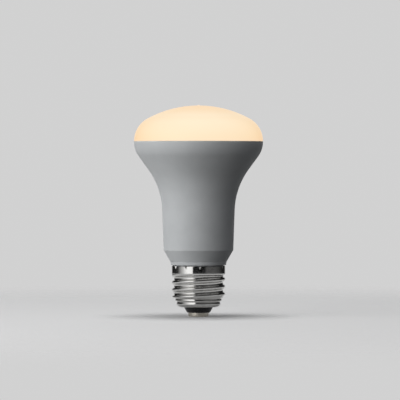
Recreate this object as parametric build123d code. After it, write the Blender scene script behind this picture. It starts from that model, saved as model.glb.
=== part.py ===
from build123d import *
import math
import os

# Reflector bulb with a rolled screw cap, in millimetres.
# Z is the lamp axis with the dome up. The origin lies where the screw shell meets the housing.

# Head and dome
head_diameter = 63.0
seam_height = 60.8  # top of the housing's rim
crown_radius = 52.0  # the dome's flat top
corner_radius = 12.6  # from the crown down to the seam
rim_wall = 1.2
skirt_wall = 0.9
skirt_depth = 3.0
seat_clearance = 0.1  # round the skirt in the rim's recess
deck_clearance = 0.6  # under the skirt
seam_bevel = 0.2  # both edges of the seam
gate_diameter = 0.9  # mark of the moulding gate on the crown
gate_height = 0.25

# Housing
rim_band = 0.3  # upright part of the rim
rim_depth = 4.25  # seam to the corner between rim and cone
cone_height = 18.4
throat_radius = 35.5
neck_diameter = 34.0  # at its lower edge
neck_draft = 2.0  # degrees
neck_bottom = 7.6
lip_height = 2.0  # band that meets the shell
lip_step = 0.3  # how far the band stands out from the shell
lip_flare = 0.3
lip_gap = 0.35  # shadow gap from the band to the shell
edge_seat = 0.2  # the shell's edge bears on the housing inside this
neck_edge = 0.8
lip_edge = 0.3

# Screw cap, with a knuckle thread of 7 turns to the inch
thread_diameter = 26.2
thread_pitch = 25.4 / 7
thread_depth = 1.1
first_crest = 7.3  # below the origin, on the -Y side
crest_radius = 0.95
crest_bands = 2  # straight bands in each half of the crest's arc
flank_angle = 32.0  # degrees, from the flank to a line square to the axis
sheet = 0.35
collar_step = 0.05  # the collar stands out from the thread's crests
collar_depth = 4.1
collar_slope = 0.9
thread_gap = 0.5  # from the thread's end to the ring groove
fade_height = 2.0  # the thread runs out over this
fade_depth = 2.9
bead_groove = 1.5  # the ring groove's depth below the thread root
bead_height = 0.35
bead_pitch = 0.8
cap_depth = 20.2
base_height = 1.6  # from the bead down to the shell's floor
base_taper = 1.4  # how far the base draws in over that height
base_radius = 2.4
bend_radius = 0.45  # inside of each bend in the sheet
opening_diameter = 12.8

# Stakes that hold the shell on the housing
stake_count = 12
stake_turn = 2.4  # degrees from the -Y side
stake_width = 1.0
stake_height = 1.3
stake_margin = 0.2  # from the shell's edge to the stake
stake_depth = 0.55
stake_taper = 25.0  # degrees
punch_start = 0.1  # the punch starts this far outside the shell
boss_clearance = 0.1
relief_clearance = 0.1  # round the stakes' backs in the boss

# Insulator and contact
flange_lap = 1.4  # hold on the shell's floor
flange_height = 1.2
insulator_lip = 0.7  # overlap under the shell
insulator_height = 2.7
tip_diameter = 11.2
tip_edge = 0.4
contact_margin = 0.6  # ring of insulator left round the contact
contact_height = 2.0
contact_edge = 0.7
shank_diameter = 3.0
bore_clearance = 0.03
fit_clearance = 0.05

# Worked out from the sizes above
head_r = head_diameter / 2
recess_r = head_r - rim_wall
dome_wall = rim_wall + seat_clearance + skirt_wall
crest_r = thread_diameter / 2
collar_r = crest_r + collar_step
core_r = crest_r - thread_depth
opening_r = opening_diameter / 2
bead_z = base_height - cap_depth
groove_z = bead_z + bead_pitch
thread_end = groove_z + thread_gap
boss_r = collar_r - sheet - boss_clearance
stake_drop = stake_margin + stake_height / 2


def turned(outline):
    # Solid of revolution from a closed outline of radius and height
    return revolve(Plane.XZ * make_face(outline), Axis.Z)


def rounded(corners):
    # Closed outline from corners, each a point and the radius that rounds it
    points = [point for point, radius in corners]
    radii = [radius for point, radius in corners]
    return FilletPolyline(*points, radius=radii, close=True)


def arc_point(centre, radius, angle):
    # Point on an arc in the section plane, the angle in radians from the horizontal
    return (centre[0] + radius * math.cos(angle), centre[1] + radius * math.sin(angle))


def make_dome():
    corner_centre = (head_r - corner_radius, seam_height)
    drop = math.sqrt((crown_radius - corner_radius) ** 2 - corner_centre[0] ** 2)
    crown_centre = (0, seam_height - drop)
    tangent = math.atan2(drop, corner_centre[0])
    foot_angle = math.asin(seam_bevel / corner_radius)
    gate_r = gate_diameter / 2
    gate_top = crown_centre[1] + crown_radius + gate_height
    gate_angle = math.acos(gate_r / crown_radius)
    inner_crown = crown_radius - dome_wall
    inner_corner = corner_radius - dome_wall
    skirt_r = recess_r - seat_clearance

    gate_foot = arc_point(crown_centre, crown_radius, gate_angle)
    crown_mid = arc_point(crown_centre, crown_radius, (gate_angle + tangent) / 2)
    crown_end = arc_point(crown_centre, crown_radius, tangent)
    corner_mid = arc_point(corner_centre, corner_radius, (tangent + foot_angle) / 2)
    corner_end = arc_point(corner_centre, corner_radius, foot_angle)
    inner_start = (head_r - dome_wall, seam_height)
    inner_corner_mid = arc_point(corner_centre, inner_corner, tangent / 2)
    inner_tangent = arc_point(crown_centre, inner_crown, tangent)
    inner_crown_mid = arc_point(crown_centre, inner_crown, (math.pi / 2 + tangent) / 2)
    inner_apex = (0, crown_centre[1] + inner_crown)

    outline = [
        Polyline(inner_apex, (0, gate_top), (gate_r, gate_top), gate_foot),
        ThreePointArc(gate_foot, crown_mid, crown_end),
        ThreePointArc(crown_end, corner_mid, corner_end),
        Polyline(
            corner_end,
            (head_r - seam_bevel, seam_height),
            (skirt_r, seam_height),
            (skirt_r, seam_height - skirt_depth),
            (skirt_r - skirt_wall, seam_height - skirt_depth),
            inner_start,
        ),
        ThreePointArc(inner_start, inner_corner_mid, inner_tangent),
        ThreePointArc(inner_tangent, inner_crown_mid, inner_apex),
    ]
    return turned(outline)


def make_housing():
    deck = seam_height - skirt_depth - deck_clearance
    cone_top = seam_height - rim_depth
    cone_bottom = cone_top - cone_height
    neck_r = neck_diameter / 2
    throat_r = neck_r + (cone_bottom - neck_bottom) * math.tan(math.radians(neck_draft))
    cone_angle = math.atan2(head_r - throat_r, cone_height)
    shoulder_radius = (rim_depth - rim_band) / math.tan(cone_angle / 2)
    lip_r = collar_r + lip_step
    seat_r = collar_r - edge_seat
    relief_r = boss_r - stake_depth - relief_clearance
    relief_bottom = -stake_drop - stake_height / 2 - sheet - relief_clearance
    boss_bottom = sheet - collar_depth
    corners = [
        ((0, deck), 0),
        ((recess_r, deck), 0),
        ((recess_r, seam_height), 0),
        ((head_r - seam_bevel, seam_height), 0),
        ((head_r, seam_height - seam_bevel), 0),
        ((head_r, cone_top), shoulder_radius),
        ((throat_r, cone_bottom), throat_radius),
        ((neck_r, neck_bottom), neck_edge),
        ((lip_r + lip_flare, lip_height), neck_edge),
        ((lip_r, lip_gap), lip_edge),
        ((seat_r, lip_gap), 0),
        ((seat_r, 0), 0),
        ((relief_r, 0), 0),
        ((relief_r, relief_bottom), 0),
        ((boss_r, relief_bottom), 0),
        ((boss_r, boss_bottom), 0),
        ((0, boss_bottom), 0),
    ]
    return turned(rounded(corners))


def thread_ridge():
    # One helical ridge: a round crest in straight bands, and flanks that run on into the core
    centre = (crest_r - crest_radius, 0)
    flank = math.radians(flank_angle)
    half = []
    for i in range(crest_bands + 1):
        angle = (math.pi / 2 - flank) * i / crest_bands
        half.append(arc_point(centre, crest_radius, angle))
    crest_end = half[-1]
    buried_r = core_r - sheet
    half.append((buried_r, crest_end[1] + (crest_end[0] - buried_r) * math.tan(flank)))
    mirrored = [(r, -z) for r, z in reversed(half[1:])]
    # The helix starts on the +X side, three quarters of a turn before the -Y side
    turns_below = math.ceil((-thread_end - first_crest) / thread_pitch) + 0.75
    turns_above = math.ceil(first_crest / thread_pitch)
    ridge = sweep(
        Plane.XZ * make_face(Polyline(*mirrored, *half, close=True)),
        path=Helix(thread_pitch, (turns_below + turns_above) * thread_pitch, crest_r),
        is_frenet=True,
    )
    return Pos(0, 0, -first_crest - turns_below * thread_pitch) * ridge


def thread_space():
    # Turned space that the ridge fills: it starts inside the collar and runs out above the ring groove
    outer_r = collar_r + sheet
    fade_r = outer_r - fade_depth
    top = -collar_depth / 2
    fade_top = thread_end + fade_height
    points = [(0, top), (outer_r, top), (outer_r, fade_top), (fade_r, thread_end), (0, thread_end)]
    return turned(Polyline(*points, close=True))


def stake(grow, outer_r, depth):
    # Tapered V-shaped punch on the -Y side, pressed towards the axis from the given radius
    half_width = stake_width / 2 + grow
    half_height = stake_height / 2 + grow
    plane = Plane(origin=(0, -outer_r, -stake_drop), x_dir=(1, 0, 0), z_dir=(0, 1, 0))
    corners = [(-half_width, -half_height), (half_width, -half_height), (0, half_height)]
    return extrude(plane * make_face(Polyline(*corners, close=True)), amount=depth, taper=stake_taper)


def make_shell():
    groove_r = core_r - bead_groove
    bead_r = groove_r + bead_height
    points = [
        (collar_r, 0),
        (collar_r, -collar_depth),
        (core_r, -collar_depth - collar_slope),
        (core_r, thread_end + fade_height),
        (groove_r, groove_z),
        (bead_r, bead_z),
        (bead_r - base_taper, -cap_depth),
        (opening_r, -cap_depth),
    ]
    outer_bend = bend_radius + sheet
    radii = [outer_bend, bend_radius, outer_bend, bend_radius, outer_bend, base_radius]
    wall = FilletPolyline(*points, radius=radii)
    sheet_face = make_face(offset(wall, amount=sheet, side=Side.RIGHT))
    filled_face = make_face([wall, Polyline(points[-1], (0, -cap_depth), (0, 0), points[0])])
    hollow_face = filled_face - sheet_face
    filled = revolve(Plane.XZ * filled_face, Axis.Z)
    outside = filled + (thread_ridge() & thread_space())
    shell = outside - revolve(Plane.XZ * hollow_face, Axis.Z)
    bump = stake(sheet, collar_r - sheet / 2, stake_depth + sheet / 2) & filled
    dent = stake(0, collar_r + punch_start, stake_depth + punch_start)
    for i in range(stake_count):
        turn = Rot(0, 0, stake_turn + i * 360 / stake_count)
        shell = shell + turn * bump - turn * dent
    return shell


def make_insulator():
    floor = sheet - cap_depth
    tip = -cap_depth - insulator_height
    bore_r = shank_diameter / 2 + bore_clearance
    flange_r = opening_r + flange_lap
    corners = [
        ((bore_r, floor + flange_height), 0),
        ((flange_r, floor + flange_height), 0),
        ((flange_r, floor), 0),
        ((opening_r - fit_clearance, floor), 0),
        ((opening_r - fit_clearance, -cap_depth), 0),
        ((opening_r + insulator_lip, -cap_depth), 0),
        ((tip_diameter / 2, tip), tip_edge),
        ((bore_r, tip), 0),
    ]
    return turned(rounded(corners))


def make_contact():
    top = sheet - cap_depth + flange_height
    seat = -cap_depth - insulator_height
    contact_r = tip_diameter / 2 - contact_margin
    shank_r = shank_diameter / 2
    corners = [
        ((0, top), 0),
        ((shank_r, top), 0),
        ((shank_r, seat), 0),
        ((contact_r, seat), 0),
        ((contact_r, seat - contact_height), contact_edge),
        ((0, seat - contact_height), 0),
    ]
    return turned(rounded(corners))


os.makedirs("parts", exist_ok=True)
pieces = {
    "diffuser_dome": make_dome(),
    "housing": make_housing(),
    "screw_shell": make_shell(),
    "cap_insulator": make_insulator(),
    "centre_contact": make_contact(),
}
for name, piece in pieces.items():
    export_step(piece, f"parts/{name}.step")
    print(name, round(piece.volume, 1), len(piece.solids()), piece.is_valid)
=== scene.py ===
import bpy
import math
from mathutils import Matrix, Vector


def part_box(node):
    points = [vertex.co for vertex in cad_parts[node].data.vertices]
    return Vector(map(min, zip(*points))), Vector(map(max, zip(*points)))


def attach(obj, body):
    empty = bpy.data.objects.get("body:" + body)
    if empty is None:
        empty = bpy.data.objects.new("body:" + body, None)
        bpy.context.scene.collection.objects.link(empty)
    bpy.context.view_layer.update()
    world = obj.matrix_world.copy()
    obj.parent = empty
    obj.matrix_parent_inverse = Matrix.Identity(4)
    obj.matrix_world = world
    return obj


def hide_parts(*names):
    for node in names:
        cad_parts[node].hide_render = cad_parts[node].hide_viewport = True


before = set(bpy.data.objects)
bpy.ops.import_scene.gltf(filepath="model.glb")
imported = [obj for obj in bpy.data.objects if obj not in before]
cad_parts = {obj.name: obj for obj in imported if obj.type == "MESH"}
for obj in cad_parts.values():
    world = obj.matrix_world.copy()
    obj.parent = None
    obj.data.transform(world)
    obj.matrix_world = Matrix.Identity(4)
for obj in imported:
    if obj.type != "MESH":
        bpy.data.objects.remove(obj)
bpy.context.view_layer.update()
mm = 0.001  # in metres
fullTurn = 2 * math.pi
print("frame loaded:", ", ".join(sorted(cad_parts)))

domeLow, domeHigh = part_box("diffuser_dome")
housingLow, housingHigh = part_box("housing")
shellLow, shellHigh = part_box("screw_shell")
insulatorLow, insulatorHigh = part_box("cap_insulator")
contactLow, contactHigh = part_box("centre_contact")
seam = housingHigh.z
headRadius = housingHigh.x
collarRadius = shellHigh.x


# Drawing and turning

lathe = {
    "mergeGap": 0.001 * mm,  # points closer than this become one
    "arcStep": math.radians(4),  # one straight piece of an arc
    "leastSteps": 3,  # in the smallest arc
    "columns": 192,  # round a turned piece
    "sharpAngle": math.radians(38),  # edges sharper than this stay sharp
}


class Section:  # half outline in the XZ plane, drawn point by point as radius and height
    def __init__(self, name, radius, height):
        bpy.ops.object.select_all(action="DESELECT")
        bpy.ops.mesh.primitive_plane_add(size=mm)
        self.piece = bpy.context.object
        self.piece.name = name
        self.piece.data.name = name
        bpy.ops.object.mode_set(mode="EDIT")
        bpy.ops.mesh.select_all(action="SELECT")
        bpy.ops.mesh.merge(type="CENTER")
        bpy.ops.transform.translate(value=(radius, 0, height))
        self.tip = Vector((radius, 0, height))

    def lineTo(self, radius, height, spans):
        step = (Vector((radius, 0, height)) - self.tip) / spans
        for _ in range(spans):
            bpy.ops.mesh.extrude_vertices_move(TRANSFORM_OT_translate={"value": step})
        self.tip = Vector((radius, 0, height))

    def arcAbout(self, radius, height, turn):  # a turn above 0 goes from the right over the top
        centre = Vector((radius, 0, height))
        steps = max(lathe["leastSteps"], math.ceil(abs(turn) / lathe["arcStep"]))
        bpy.ops.mesh.spin(steps=steps, angle=turn, center=centre, axis=(0, 1, 0))
        self.tip = centre + Matrix.Rotation(-turn, 3, "Y") @ (self.tip - centre)

    # a corner is its radius and height, then its rounding (0 if left out)
    # and the spans of the line to it (1 if left out)
    def roundedTo(self, corners):
        places = [Vector((corner[0], 0, corner[1])) for corner in corners]
        for i, corner in enumerate(corners):
            radius, height, rounding, spans = corner + (0, 1)[len(corner) - 2:]
            if not rounding:
                self.lineTo(radius, height, spans)
                continue
            arriving = (places[i] - self.tip).normalized()
            leaving = (places[i + 1] - places[i]).normalized()
            turn = arriving.angle(leaving)
            start = places[i] - arriving * rounding * math.tan(turn / 2)
            self.lineTo(start.x, start.z, spans)
            side = 1 if arriving.cross(leaving).y < 0 else -1  # left or right hand bend
            centre = start + Vector((-arriving.z, 0, arriving.x)) * rounding * side
            self.arcAbout(centre.x, centre.z, turn * side)


def closeSurface():
    bpy.ops.mesh.select_all(action="SELECT")
    bpy.ops.mesh.remove_doubles(threshold=lathe["mergeGap"])
    bpy.ops.mesh.normals_make_consistent(inside=False)
    bpy.ops.mesh.select_all(action="DESELECT")
    bpy.ops.object.mode_set(mode="OBJECT")


def turned(section):
    bpy.ops.mesh.select_all(action="SELECT")
    bpy.ops.mesh.spin(steps=lathe["columns"], angle=fullTurn, center=(0, 0, 0), axis=(0, 0, 1))
    closeSurface()
    bpy.ops.object.shade_smooth_by_angle(angle=lathe["sharpAngle"])
    return section.piece


def applied(piece, name, kind, settings):
    bpy.ops.object.select_all(action="DESELECT")
    piece.select_set(True)
    bpy.context.view_layer.objects.active = piece
    modifier = piece.modifiers.new(name, kind)
    for key, value in settings.items():
        setattr(modifier, key, value)
    bpy.ops.object.modifier_apply(modifier=name)


def placed(piece, node, finish):
    piece.data.materials.clear()
    piece.data.materials.append(finish.material)
    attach(piece, "root")
    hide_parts(node)
    triangles = sum(len(p.vertices) - 2 for p in piece.data.polygons)
    print(f"{piece.name}: {triangles} triangles")


# Shader maths

class Socket:  # an output that takes part in sums
    def __init__(self, finish, link):
        self.finish = finish
        self.link = link

    def worked(self, operation, first, second):
        return self.finish.node("ShaderNodeMath", {"operation": operation}, {0: first, 1: second})

    def __add__(self, other):
        return self.worked("ADD", self, other)

    def __radd__(self, other):
        return self.worked("ADD", other, self)

    def __sub__(self, other):
        return self.worked("SUBTRACT", self, other)

    def __rsub__(self, other):
        return self.worked("SUBTRACT", other, self)

    def __mul__(self, other):
        return self.worked("MULTIPLY", self, other)

    def __rmul__(self, other):
        return self.worked("MULTIPLY", other, self)

    def __truediv__(self, other):
        return self.worked("DIVIDE", self, other)

    def __rtruediv__(self, other):
        return self.worked("DIVIDE", other, self)


noiseRoughness = 0.55  # how strong the finer spots of a noise are


class Finish:  # node tree of one material, of the world or of a lamp
    def __init__(self, name, owner=None):
        self.material = owner or bpy.data.materials.new(name)
        self.material.use_nodes = True
        self.tree = self.material.node_tree
        self.coordinates = None

    def node(self, kind, settings=None, inputs=None, output=0):
        made = self.tree.nodes.new(kind)
        for key, value in (settings or {}).items():
            if key == "stops":
                ramp = made.color_ramp
                while len(ramp.elements) < len(value):
                    ramp.elements.new(1)
                for element, (place, colour) in zip(ramp.elements, value):
                    element.position = place
                    element.color = (*colour, 1)
            else:
                setattr(made, key, value)
        self.fill(made, inputs or {})
        return Socket(self, made.outputs[output])

    def fill(self, node, inputs):
        for key, value in inputs.items():
            if isinstance(value, Socket):
                self.tree.links.new(value.link, node.inputs[key])
            else:
                node.inputs[key].default_value = value

    def shader(self, inputs):
        self.fill(self.tree.nodes["Principled BSDF"], inputs)

    def objectPlace(self):
        if self.coordinates is None:
            self.coordinates = self.node("ShaderNodeTexCoord", output="Object")
        return self.coordinates

    def along(self, vector, axis):  # one coordinate of a vector
        return self.node("ShaderNodeSeparateXYZ", {}, {0: vector}, output=axis)

    def noise(self, grain, stretch=(1, 1, 1), detail=3):  # the grain is the size of a spot
        place = self.node("ShaderNodeMapping", {}, {"Vector": self.objectPlace(), "Scale": stretch})
        inputs = {"Vector": place, "Scale": 1 / grain, "Detail": detail, "Roughness": noiseRoughness}
        return self.node("ShaderNodeTexNoise", {}, inputs)

    def ramp(self, factor, stops):
        return self.node("ShaderNodeValToRGB", {"stops": stops}, {"Fac": factor})

    def mixed(self, factor, first, second):  # two colours, by a Mix node's sockets for them
        inputs = {0: factor, 6: first, 7: second}
        return self.node("ShaderNodeMix", {"data_type": "RGBA"}, inputs, output=2)

    def bump(self, height, distance, strength):
        inputs = {"Height": height, "Distance": distance, "Strength": strength}
        return self.node("ShaderNodeBump", {}, inputs, output="Normal")

    def seen(self):  # 1 where the camera looks, straight or by way of metal or glass
        light = "ShaderNodeLightPath"
        mirrored = self.node(light, output="Is Glossy Ray")
        through = self.node(light, output="Is Transmission Ray")
        return self.node(light, output="Is Camera Ray") + mirrored + through


def greys(stops):
    return [(place, (level, level, level)) for place, level in stops]


# Diffuser dome, milky and lit from inside

dome = {
    "crownRadius": 52 * mm,
    "cornerRadius": 12.6 * mm,  # from the crown down to the seam
    "wall": 2.2 * mm,
    "skirtOuter": 30.2 * mm,  # the skirt sits in the housing's recess
    "skirtInner": 29.3 * mm,
    "seamBevel": 0.2 * mm,
    "gateRadius": 0.45 * mm,  # the stub that moulding leaves on top
    "gateRound": 0.12 * mm,
    "glow": [  # from the seam to the crown; warmer and dimmer at the seam and at the crown, a painted edge shade over the real glow
        (0.0, (1.0, 0.885, 0.715)),
        (0.10, (1.0, 0.895, 0.70)),
        (0.40, (1.0, 0.94, 0.78)),
        (0.72, (1.0, 1.0, 0.90)),
        (0.88, (1.0, 0.95, 0.81)),
        (1.0, (1.0, 0.92, 0.76)),
    ],
    "cloudSize": 6 * mm,
    "cloudShift": 0.06,  # how far the clouds move the glow up and down
    "grainSize": 0.25 * mm,
    "grainDepth": 0.02 * mm,
}


def makeDome():
    cornerX = headRadius - dome["cornerRadius"]
    drop = math.sqrt((dome["crownRadius"] - dome["cornerRadius"]) ** 2 - cornerX ** 2)
    crownZ = seam - drop
    lean = math.atan2(drop, cornerX)  # where crown and corner meet
    footAngle = math.asin(dome["seamBevel"] / dome["cornerRadius"])
    footX = cornerX + dome["cornerRadius"] * math.cos(footAngle)
    innerCrown = dome["crownRadius"] - dome["wall"]
    gateAngle = math.acos(dome["gateRadius"] / dome["crownRadius"])

    section = Section("milkyDome", 0, crownZ + innerCrown)
    section.arcAbout(0, crownZ, lean - math.pi / 2)
    section.arcAbout(cornerX, seam, -lean)
    section.roundedTo([
        (dome["skirtInner"], domeLow.z),
        (dome["skirtOuter"], domeLow.z),
        (dome["skirtOuter"], seam),
        (headRadius - dome["seamBevel"], seam),
        (footX, seam + dome["seamBevel"]),
    ])
    section.arcAbout(cornerX, seam, lean - footAngle)
    section.arcAbout(0, crownZ, gateAngle - lean)
    section.roundedTo([
        (dome["gateRadius"], domeHigh.z, dome["gateRound"]),
        (0, domeHigh.z),
    ])
    return turned(section)


def litDiffuser():
    finish = Finish("litDiffuser")
    rise = (finish.along(finish.objectPlace(), "Z") - seam) / (domeHigh.z - seam)
    cloud = finish.noise(dome["cloudSize"], detail=2)
    grain = finish.noise(dome["grainSize"])
    finish.shader({
        "Base Color": (0.06, 0.057, 0.051, 1),
        "Roughness": 0.42 + 0.12 * grain,
        "Specular IOR Level": 0.2,
        # the glow's colour goes by height, with painted edge shade at the seam and at the crown
        "Emission Color": finish.ramp(rise + dome["cloudShift"] * (cloud - 0.5), dome["glow"]),
        "Emission Strength": 0.98,
        "Coat Weight": 1.0,
        "Coat Roughness": 0.35,
        "Coat IOR": 1.12,
        "Coat Tint": (1.0, 0.90, 0.80, 1),
        "Normal": finish.bump(grain, dome["grainDepth"], strength=0.15),
    })
    return finish


# Housing, one moulding in satin plastic

housing = {
    "recessRadius": 30.3 * mm,
    "deck": 3.6 * mm,  # below the seam
    "seamBevel": 0.2 * mm,
    "rimBand": 0.3 * mm,  # upright below the seam
    "rimDepth": 4.25 * mm,  # to where the rim's and the cone's lines meet
    "coneHeight": 18.4 * mm,
    "throatRadius": 35.5 * mm,  # of the bend from the cone to the neck
    "neckRadius": 17 * mm,
    "neckDraft": math.radians(2),
    "neckBottom": 7.6 * mm,
    "lipHeight": 2.0 * mm,
    "lipStep": 0.3 * mm,
    "lipFlare": 0.3 * mm,
    "lipGap": 0.35 * mm,  # shadow gap to the shell
    "edgeSeat": 1.05 * mm,  # the gap's depth behind the shell's face
    "neckEdge": 0.8 * mm,
    "lipEdge": 0.2 * mm,
    "bossRadius": 12.7 * mm,
    "reliefRadius": 12.05 * mm,  # behind the stakes
    "reliefBottom": -1.95 * mm,
    "tone": [(0.3, (0.587, 0.605, 0.613)), (0.7, (0.627, 0.645, 0.653))],
    "cloudSize": 9 * mm,
    "grainSize": 0.22 * mm,
    "grainDepth": 0.03 * mm,
}


def makeHousing():
    coneTop = seam - housing["rimDepth"]
    coneBottom = coneTop - housing["coneHeight"]
    neckBottom = housing["neckBottom"]
    throat = housing["neckRadius"] + (coneBottom - neckBottom) * math.tan(housing["neckDraft"])
    coneAngle = math.atan2(headRadius - throat, housing["coneHeight"])
    shoulder = (housing["rimDepth"] - housing["rimBand"]) / math.tan(coneAngle / 2)
    lip = collarRadius + housing["lipStep"]
    seat = collarRadius - housing["edgeSeat"]
    deck = seam - housing["deck"]

    section = Section("satinHousing", 0, deck)
    section.roundedTo([
        (housing["recessRadius"], deck),
        (housing["recessRadius"], seam),
        (headRadius - housing["seamBevel"], seam),
        (headRadius, seam - housing["seamBevel"]),
        (headRadius, coneTop, shoulder),
        (throat, coneBottom, housing["throatRadius"]),
        (housing["neckRadius"], neckBottom, housing["neckEdge"]),
        (lip + housing["lipFlare"], housing["lipHeight"], housing["neckEdge"]),
        (lip, housing["lipGap"], housing["lipEdge"]),
        (seat, housing["lipGap"]),
        (seat, 0),
        (housing["reliefRadius"], 0),
        (housing["reliefRadius"], housing["reliefBottom"]),
        (housing["bossRadius"], housing["reliefBottom"]),
        (housing["bossRadius"], housingLow.z),
        (0, housingLow.z),
    ])
    return turned(section)


def satinPlastic():
    finish = Finish("satinPlastic")
    cloud = finish.noise(housing["cloudSize"], detail=4)
    grain = finish.noise(housing["grainSize"], detail=2)
    finish.shader({
        "Base Color": finish.ramp(cloud, housing["tone"]),
        "Roughness": 0.52 + 0.1 * grain + 0.05 * cloud,
        "Specular IOR Level": 0.14,
        "Normal": finish.bump(grain, housing["grainDepth"], strength=0.25),
    })
    return finish


# Screw shell, rolled from plated sheet and staked to the housing

shell = {
    "sheet": 0.35 * mm,
    "edgeRound": 0.26 * mm,
    "collarDepth": 4.1 * mm,
    "collarSlope": 0.9 * mm,  # from the collar down to the core
    "coreRadius": 12 * mm,
    "crestRadius": 13.1 * mm,
    "pitch": 25.4 * mm / 7,
    "firstCrest": -7.3 * mm,  # on the -Y side
    "threadBottom": -15.3 * mm,  # the wall draws in below this
    "threadEnd": -16.1 * mm,  # the thread has run out here
    "fadeRadius": 11.3 * mm,  # the run-out comes down to this at the thread's end
    "fadeSlope": 2.2,
    "fadeBlend": 0.25 * mm,
    "rootBlend": 0.08 * mm,
    "wallRadius": 11.25 * mm,  # the band between the thread and the groove
    "wallTop": -16.0 * mm,
    "wallFoot": 11.5 * mm,  # its radius at the bottom
    "wallBottom": -17.0 * mm,
    "wallBend": 0.25 * mm,
    "grooveRadius": 10.5 * mm,
    "grooveZ": -17.55 * mm,
    "grooveBend": 0.2 * mm,
    "beadRadius": 10.9 * mm,
    "beadZ": -18.8 * mm,
    "baseTaper": 1.4 * mm,
    "baseRound": 2.4 * mm,
    "outerBend": 0.8 * mm,
    "innerBend": 0.45 * mm,
    "openingRadius": 6.4 * mm,
    "collarSpans": 2,  # how often each stretch is divided
    "slopeSpans": 4,
    "threadSpans": 56,
    "fadeSpans": 12,
    "tone": [(0.3, (0.59, 0.585, 0.57)), (0.7, (0.65, 0.645, 0.63))],
    "smudgeSize": 5 * mm,
    "rollMarkSize": 1 * mm,
    "rollMarkStretch": (0.1, 0.1, 6),
    "rollMarkDepth": 0.004 * mm,
}

stake = {
    "count": 12,
    "turn": math.radians(2.4),  # of the first from the -Y side
    "width": 1.3 * mm,
    "height": 1.2 * mm,
    "margin": 0.3 * mm,  # straight-sided above the V
    "flank": math.tan(math.radians(40)),
    "rings": 12,
    "fineColumns": 16,  # over twice the stake's width
    "wideColumns": 4,  # each side of those
    "below": 0.4 * mm,  # the columns spread out again below the point
    "belowRings": 3,
    "least": 0.06,  # how far the columns close up at the point
    "near": 0.005 * mm,  # finds the points of a ring and of a column
}
stakeTop = -stake["margin"]
stakeTip = stakeTop - stake["height"]


def softMost(first, second, blend):  # the larger of two, with a rounded change from one to the other
    return (first + second + math.sqrt((first - second) ** 2 + blend ** 2)) / 2


def wallAt(z):  # the plain wall's radius below the collar
    core, wall = shell["coreRadius"], shell["wallRadius"]
    slope = (collarRadius - core) / shell["collarSlope"]
    upper = core + (z + shell["collarDepth"] + shell["collarSlope"]) * slope
    share = (shell["threadBottom"] - z) / (shell["threadBottom"] - shell["wallTop"])
    return max(upper, core - max(0, share) * (core - wall))


def threadRise(place):  # how far the rolled thread stands out of the plain wall
    radius = math.hypot(place.x, place.y)
    inside = radius < wallAt(place.z) - shell["sheet"] / 2  # the sheet's inner face stays plain
    if inside or not shell["threadEnd"] < place.z < -shell["collarDepth"]:
        return 0
    angle = math.atan2(place.x, -place.y)  # from the -Y side
    crestZ = shell["firstCrest"] + shell["pitch"] * angle / fullTurn
    half = shell["pitch"] / 2
    away = abs((place.z - crestZ + half) % shell["pitch"] - half)
    depth = shell["crestRadius"] - shell["coreRadius"]
    arc = (half ** 2 + depth ** 2) / (4 * depth)  # crest and root have the same arc
    if away < half / 2:
        rolled = shell["crestRadius"] - arc + math.sqrt(arc ** 2 - away ** 2)
    else:
        rolled = shell["coreRadius"] + arc - math.sqrt(arc ** 2 - (half - away) ** 2)
    fade = shell["fadeRadius"] + (place.z - shell["threadEnd"]) * shell["fadeSlope"]
    faded = -softMost(-rolled, -fade, shell["fadeBlend"])
    return softMost(faded, radius, shell["rootBlend"]) - radius


def stakeHalf(z):  # half the stake's width at a height
    return stake["width"] / 2 * min(1, (z - stakeTip) / stake["height"])


def stakeSink(place):  # how far the V-shaped punch has pressed the collar in
    across = abs(math.atan2(place.x, -place.y)) * collarRadius
    return -stake["flank"] * max(0, stakeHalf(place.z) - across)


def pressed(piece, name, rise, drum):  # moves the wall out or in, square to the axis, towards a drum
    group = piece.vertex_groups.new(name=name)
    for vertex in piece.data.vertices:
        amount = rise(vertex.co)
        if amount:
            radius = math.hypot(vertex.co.x, vertex.co.y)
            group.add([vertex.index], amount / (drum - radius), "REPLACE")
    press = {"cast_type": "CYLINDER", "vertex_group": name, "factor": 1, "use_z": False}
    applied(piece, name, "CAST", {**press, "use_radius_as_size": False, "size": drum, "radius": 0})
    piece.vertex_groups.remove(piece.vertex_groups[name])


def closeColumns(piece, z, factor):  # draws the columns of the stake together at one height
    reach = stake["width"] / 2 + stake["near"]
    for vertex in piece.data.vertices:
        vertex.select = abs(vertex.co.z - z) < stake["near"] and abs(vertex.co.x) < reach
    bpy.ops.object.mode_set(mode="EDIT")
    bpy.ops.transform.resize(value=(factor, 1, 1), center_override=(0, 0, z))
    bpy.ops.mesh.select_all(action="DESELECT")
    bpy.ops.object.mode_set(mode="OBJECT")


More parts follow.
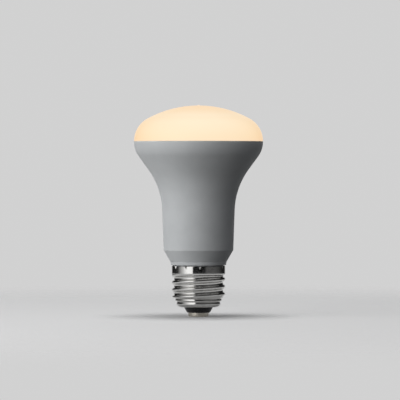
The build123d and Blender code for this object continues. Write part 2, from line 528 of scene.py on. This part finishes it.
def shellSection():
    collar, core, sheet = collarRadius, shell["coreRadius"], shell["sheet"]
    slopeAngle = math.atan2(collar - core, shell["collarSlope"])
    lift = sheet * math.tan(slopeAngle / 2)  # of the collar's bends on the inside
    slopeTop = -shell["collarDepth"]
    slopeBottom = slopeTop - shell["collarSlope"]
    below = stakeTip - stake["below"]
    foot = shell["beadRadius"] - shell["baseTaper"]
    section = Section("screwShell", collar - sheet, 0)
    section.roundedTo([
        (collar, 0, shell["edgeRound"]),
        (collar, stakeTop),
        (collar, stakeTip, 0, stake["rings"]),
        (collar, below, 0, stake["belowRings"]),
        (collar, slopeTop, shell["outerBend"], shell["collarSpans"]),
        (core, slopeBottom, shell["innerBend"], shell["slopeSpans"]),
        (core, shell["threadBottom"], shell["outerBend"], shell["threadSpans"]),
        (shell["wallRadius"], shell["wallTop"], shell["innerBend"], shell["fadeSpans"]),
        (shell["wallFoot"], shell["wallBottom"], shell["wallBend"]),
        (shell["grooveRadius"], shell["grooveZ"], shell["grooveBend"]),
        (shell["beadRadius"], shell["beadZ"], shell["outerBend"]),
        (foot, shellLow.z, shell["baseRound"]),
        (shell["openingRadius"], shellLow.z),
        (shell["openingRadius"], shellLow.z + sheet),
        (foot - sheet / 2, shellLow.z + sheet, shell["baseRound"] - sheet),
        (shell["grooveRadius"] - sheet, shell["beadZ"]),
        (shell["grooveRadius"] - sheet, shell["grooveZ"]),
        (shell["wallFoot"] - sheet, shell["wallBottom"]),
        (shell["wallRadius"] - sheet, shell["wallTop"]),
        (core - sheet, shell["threadBottom"]),
        (core - sheet, slopeBottom + lift),
        (collar - sheet, slopeTop + lift),
        (collar - sheet, below),
        (collar - sheet, stakeTip, 0, stake["belowRings"]),
        (collar - sheet, stakeTop, 0, stake["rings"]),
        (collar - sheet, 0),
    ])
    return section.piece


def makeShell():
    piece = shellSection()
    bpy.ops.mesh.select_all(action="SELECT")
    sector = fullTurn / stake["count"]
    fine = 2 * stake["width"] / collarRadius
    wide = (sector - fine) / 2
    about = {"center": (0, 0, 0), "axis": (0, 0, -1)}
    start = -math.pi / 2 - sector / 2  # half a sector before the -Y side
    bpy.ops.transform.rotate(value=-start, orient_axis="Z", center_override=(0, 0, 0))
    bpy.ops.mesh.spin(steps=stake["wideColumns"], angle=wide, **about)
    bpy.ops.mesh.spin(steps=stake["fineColumns"], angle=fine, **about)
    bpy.ops.mesh.spin(steps=stake["wideColumns"], angle=wide, **about)
    closeSurface()

    # one stake, on the -Y side: its columns run together to the point, then it is pressed in
    for i in range(1, stake["rings"] + 1):
        z = stakeTop - stake["height"] * i / stake["rings"]
        closeColumns(piece, z, max(stake["least"], 2 * stakeHalf(z) / stake["width"]))
    for i in range(1, stake["belowRings"]):
        z = stakeTip - stake["below"] * i / stake["belowRings"]
        closeColumns(piece, z, stake["least"] + (1 - stake["least"]) * i / stake["belowRings"])
    pressed(piece, "stake", stakeSink, collarRadius / 2)  # the drum lies inside the collar

    # the staked sector goes round the cap, and the thread is rolled in
    bpy.ops.object.mode_set(mode="EDIT")
    bpy.ops.mesh.select_all(action="SELECT")
    bpy.ops.transform.rotate(value=-stake["turn"], orient_axis="Z", center_override=(0, 0, 0))
    copies = stake["count"] - 1
    bpy.ops.mesh.spin(steps=copies, dupli=True, angle=sector * copies, **about)
    closeSurface()
    pressed(piece, "thread", threadRise, collarRadius * 2)  # the drum lies well outside
    bpy.ops.object.shade_smooth_by_angle(angle=lathe["sharpAngle"])
    return piece


def platedSheet():
    finish = Finish("platedSheet")
    rollMarks = finish.noise(shell["rollMarkSize"], shell["rollMarkStretch"], detail=2)
    smudge = finish.noise(shell["smudgeSize"], detail=4)
    finish.shader({
        "Base Color": finish.ramp(smudge, shell["tone"]),
        "Metallic": 1.0,
        "Roughness": 0.05 + 0.03 * rollMarks + 0.06 * smudge,
        "Normal": finish.bump(rollMarks, shell["rollMarkDepth"], strength=0.1),
    })
    return finish


# Insulator, a black moulding that plugs the shell's opening

insulator = {
    "boreRadius": 1.53 * mm,
    "flangeHeight": 1.2 * mm,
    "openingGap": 0.05 * mm,
    "lip": 0.7 * mm,
    "tipRadius": 5.6 * mm,
    "tipEdge": 0.4 * mm,
    "tone": [(0.3, (0.006, 0.006, 0.007)), (0.75, (0.014, 0.013, 0.013))],
    "cloudSize": 2 * mm,
    "speckSize": 0.3 * mm,
    "speckDepth": 0.02 * mm,
}


def makeInsulator():
    flange = insulatorHigh.x
    flangeFoot = insulatorHigh.z - insulator["flangeHeight"]
    throat = shell["openingRadius"] - insulator["openingGap"]
    section = Section("blackInsulator", insulator["boreRadius"], insulatorHigh.z)
    section.roundedTo([
        (flange, insulatorHigh.z),
        (flange, flangeFoot),
        (throat, flangeFoot),
        (throat, shellLow.z),
        (shell["openingRadius"] + insulator["lip"], shellLow.z),
        (insulator["tipRadius"], insulatorLow.z, insulator["tipEdge"]),
        (insulator["boreRadius"], insulatorLow.z),
        (insulator["boreRadius"], insulatorHigh.z),
    ])
    return turned(section)


def blackPlastic():
    finish = Finish("blackPlastic")
    cloud = finish.noise(insulator["cloudSize"], detail=4)
    speck = finish.noise(insulator["speckSize"], detail=2)
    finish.shader({
        "Base Color": finish.ramp(cloud, insulator["tone"]),
        "Roughness": 0.2 + 0.15 * cloud,
        "Specular IOR Level": 0.4,
        "Normal": finish.bump(speck, insulator["speckDepth"], strength=0.2),
    })
    return finish


# Centre contact, plated brass

contact = {
    "shankRadius": 1.5 * mm,
    "edge": 0.7 * mm,
    "tone": [(0.3, (0.60, 0.56, 0.48)), (0.7, (0.68, 0.65, 0.59))],
    "cloudSize": 2.5 * mm,
    "scratchSize": 0.5 * mm,
    "scratchStretch": (0.3, 3, 1),
    "scratchDepth": 0.01 * mm,
}


def makeContact():
    section = Section("centreContact", 0, contactHigh.z)
    section.roundedTo([
        (contact["shankRadius"], contactHigh.z),
        (contact["shankRadius"], insulatorLow.z),
        (contactHigh.x, insulatorLow.z),
        (contactHigh.x, contactLow.z, contact["edge"]),
        (0, contactLow.z),
    ])
    return turned(section)


def platedBrass():
    finish = Finish("platedBrass")
    cloud = finish.noise(contact["cloudSize"], detail=4)
    scratch = finish.noise(contact["scratchSize"], contact["scratchStretch"])
    finish.shader({
        "Base Color": finish.ramp(cloud, contact["tone"]),
        "Metallic": 1.0,
        "Roughness": 0.24 + 0.16 * scratch,
        "Normal": finish.bump(scratch, contact["scratchDepth"], strength=0.2),
    })
    return finish


placed(makeDome(), "diffuser_dome", litDiffuser())
placed(makeHousing(), "housing", satinPlastic())
placed(makeShell(), "screw_shell", platedSheet())
placed(makeInsulator(), "cap_insulator", blackPlastic())
placed(makeContact(), "centre_contact", platedBrass())
print("pieces modelled")


# Floor, background and light

floor = {
    "radius": 0.6,
    "sides": 96,
    "solidTo": 0.15,  # from the bulb's axis
    "goneBy": 0.45,  # melts into the background up to here
    "pale": (0.58, 0.58, 0.58, 1),
    "glow": 0.15,
    "bounce": (0.03, 0.03, 0.03, 1),  # what it throws back on to the bulb
}


def makeFloor():
    bpy.ops.object.select_all(action="DESELECT")
    bpy.ops.mesh.primitive_circle_add(vertices=floor["sides"], radius=floor["solidTo"], fill_type="NGON")
    disc = bpy.context.object
    disc.name = "paleFloor"
    bpy.ops.object.mode_set(mode="EDIT")
    bpy.ops.mesh.select_all(action="SELECT")
    bpy.ops.transform.translate(value=(0, 0, contactLow.z))
    bpy.ops.mesh.select_mode(type="EDGE")
    bpy.ops.mesh.region_to_loop()
    bpy.ops.mesh.extrude_edges_move()
    spread = floor["radius"] / floor["solidTo"]
    bpy.ops.transform.resize(value=(spread, spread, 1), center_override=(0, 0, contactLow.z))
    bpy.ops.mesh.select_mode(type="VERT")
    bpy.ops.object.mode_set(mode="OBJECT")

    finish = Finish("paleFloor")
    lit = finish.node("ShaderNodeBsdfDiffuse", {}, {"Color": floor["pale"]})
    glowInputs = {"Color": floor["pale"], "Strength": floor["glow"]}
    glow = finish.node("ShaderNodeEmission", {}, glowInputs)
    both = finish.node("ShaderNodeAddShader", {}, {0: lit, 1: glow})
    dim = finish.node("ShaderNodeBsdfDiffuse", {}, {"Color": floor["bounce"]})
    solid = finish.node("ShaderNodeMixShader", {}, {"Fac": finish.seen(), 1: dim, 2: both})
    away = {"operation": "LENGTH"}
    distance = finish.node("ShaderNodeVectorMath", away, {0: finish.objectPlace()}, output="Value")
    limits = {"Value": distance, "From Min": floor["solidTo"], "From Max": floor["goneBy"]}
    fade = finish.node("ShaderNodeMapRange", {"interpolation_type": "SMOOTHSTEP"}, limits)
    clear = finish.node("ShaderNodeBsdfTransparent")
    melted = finish.node("ShaderNodeMixShader", {}, {"Fac": fade, 1: solid, 2: clear})
    finish.fill(finish.tree.nodes["Material Output"], {"Surface": melted})
    disc.data.materials.append(finish.material)


studio = {
    "background": (0.64, 0.64, 0.64, 1),
    "ambient": [  # what lights the bulb from all round, from below to above
        (0.40, (0.04, 0.04, 0.041)),
        (0.52, (0.153, 0.155, 0.161)),
    ],
    "backdrop": [(0.89, 0), (0.93, 1)],  # the part of it that lights the bulb's back
    "mirrored": [  # what the metal shows, from the dark end behind the camera to the backdrop
        (0.062, 0.004),
        (0.076, 0.09),
        (0.40, 0.095),
        (0.55, 0.06),
        (0.72, 0.02),
        (0.94, 0.012),
        (0.965, 0.64),
    ],
}


def lightWorld():
    world = bpy.data.worlds.new("studio")
    bpy.context.scene.world = world
    finish = Finish("studio", world)
    direction = finish.node("ShaderNodeTexCoord", output="Generated")
    ahead = 0.5 + 0.5 * finish.along(direction, "Y")  # 0 behind the camera, 1 at the backdrop
    above = 0.5 + 0.5 * finish.along(direction, "Z")
    behind = finish.ramp(ahead, greys(studio["backdrop"]))
    ambient = finish.mixed(behind, finish.ramp(above, studio["ambient"]), studio["background"])
    mirrored = finish.ramp(ahead, greys(studio["mirrored"]))
    around = finish.mixed(finish.seen(), ambient, mirrored)
    straight = finish.node("ShaderNodeLightPath", output="Is Camera Ray")
    colour = finish.mixed(straight, around, studio["background"])
    finish.fill(finish.tree.nodes["Background"], {"Color": colour, "Strength": 1.0})


# angles in degrees from the camera's side, to the left below 0
# the top lamp is a hair off the axis, so that its aim isn't quite upright
lamps = {
    "key": {"angle": -56, "reach": 0.9, "height": 0.23, "size": (1.26, 0.45), "power": 7.5},
    "panel": {"angle": -60, "reach": 0.9, "height": 0.3, "size": (1.43, 1.1), "power": 6.4},
    "top": {"angle": 0, "reach": 0.001, "height": 1.5, "size": (0.65, 0.65), "power": 13.8},
}
panelFade = [  # across the panel that the metal mirrors, from its far end to the end by the camera
    (0.0, 0.05),
    (0.22, 0.28),
    (0.35, 0.45),
    (0.58, 0.9),
    (0.7, 1.0),
    (1.0, 0.95),
]
lampAim = Vector((0, 0, 0.03))


def makeLamp(name):
    values = lamps[name]
    mirrored = name == "panel"  # the metal shows it, and it lights nothing else
    angle = math.radians(values["angle"])
    sideways, forward = values["reach"] * math.sin(angle), -values["reach"] * math.cos(angle)
    place = Vector((sideways, forward, values["height"]))
    bpy.ops.object.light_add(type="AREA", location=place)
    lamp = bpy.context.object
    lamp.name = name + "Lamp"
    lamp.rotation_euler = (lampAim - place).to_track_quat("-Z", "Y").to_euler()
    lamp.visible_camera = False
    lamp.visible_glossy = mirrored
    lamp.visible_diffuse = not mirrored
    lamp.data.shape = "RECTANGLE"
    lamp.data.size, lamp.data.size_y = values["size"]
    lamp.data.energy = values["power"]
    if mirrored:
        finish = Finish(name, lamp.data)
        across = finish.along(finish.node("ShaderNodeNewGeometry", output="Parametric"), "X")
        finish.fill(finish.tree.nodes["Emission"], {"Color": finish.ramp(across, greys(panelFade))})


camera = {
    "distance": 1.7,
    "height": 50.3 * mm,
    "aim": (0.72 * mm, 0, 32.06 * mm),
    "across": 195.4 * mm,  # width of the picture at the bulb
    "sensor": 36.0,
    "clipStart": 0.05,
}


def makeCamera():
    place = Vector((camera["aim"][0], -camera["distance"], camera["height"]))
    aim = Vector(camera["aim"])
    bpy.ops.object.camera_add(location=place)
    eye = bpy.context.object
    eye.rotation_euler = (aim - place).to_track_quat("-Z", "Y").to_euler()
    eye.data.sensor_width = camera["sensor"]
    eye.data.lens = camera["sensor"] * (aim - place).length / camera["across"]
    eye.data.clip_start = camera["clipStart"]
    bpy.context.scene.camera = eye


makeFloor()
lightWorld()
for lampName in lamps:
    makeLamp(lampName)
makeCamera()
bpy.context.scene.view_settings.view_transform = "Standard"
print("floor, lamps and camera set")
